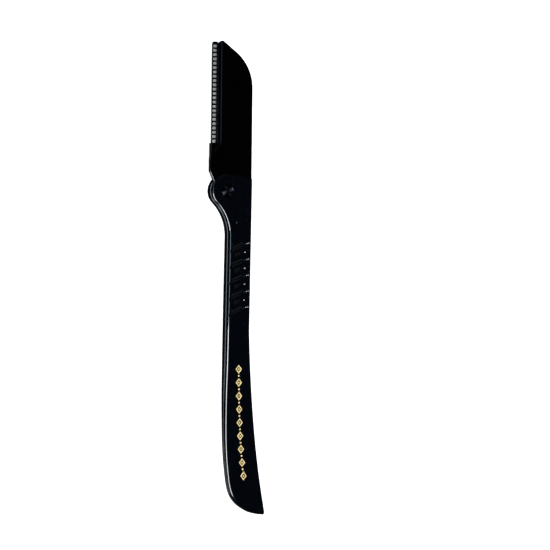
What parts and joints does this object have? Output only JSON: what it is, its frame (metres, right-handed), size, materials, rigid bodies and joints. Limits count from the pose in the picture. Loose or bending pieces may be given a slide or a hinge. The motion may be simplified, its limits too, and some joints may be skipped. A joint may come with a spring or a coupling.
{
  "type": "eyebrow razor",
  "caption": "Folding eyebrow razor: a slim guarded blade head turns about a rivet and folds into a channel between the two scales of a long black handle.",
  "frame": {"origin": "middle of the open razor's bounding box, on the outer face of the back scale", "axes": "+Y along the handle towards the tip of the open head, +X from the cutting edge towards the spine, +Z from the back scale towards the front scale"},
  "size_m": [0.0198, 0.1598, 0.0055],
  "materials": {
    "black_plastic": "gloss",
    "inner_plastic": "satin",
    "black_steel": "satin",
    "plain_steel": "satin",
    "blade_steel": "satin",
    "washer_brass": "satin",
    "gold_foil": "gloss"
  },
  "bodies": {
    "handle": {"front_scale": "black_plastic", "back_scale": "black_plastic", "spine_spacer": "inner_plastic", "dowel_1": "plain_steel", "dowel_2": "plain_steel", "dowel_3": "plain_steel", "dowel_4": "plain_steel", "rivet_barrel": "black_steel", "rivet_post": "black_steel", "front_washer": "washer_brass", "back_washer": "washer_brass", "catch_pin": "black_steel", "tail_ornament": "gold_foil"},
    "head": {"head_front_half": "black_plastic", "head_back_half": "black_plastic", "blade": "blade_steel", "guard_comb": "black_plastic"}
  },
  "joints": [
    {"name": "head_fold", "type": "hinge", "parent": "handle", "child": "head", "pos_m": [-0.00392, 0.02926, 0.0033], "axis": [0, 0, 1], "range_deg": [0, 179]}
  ]
}
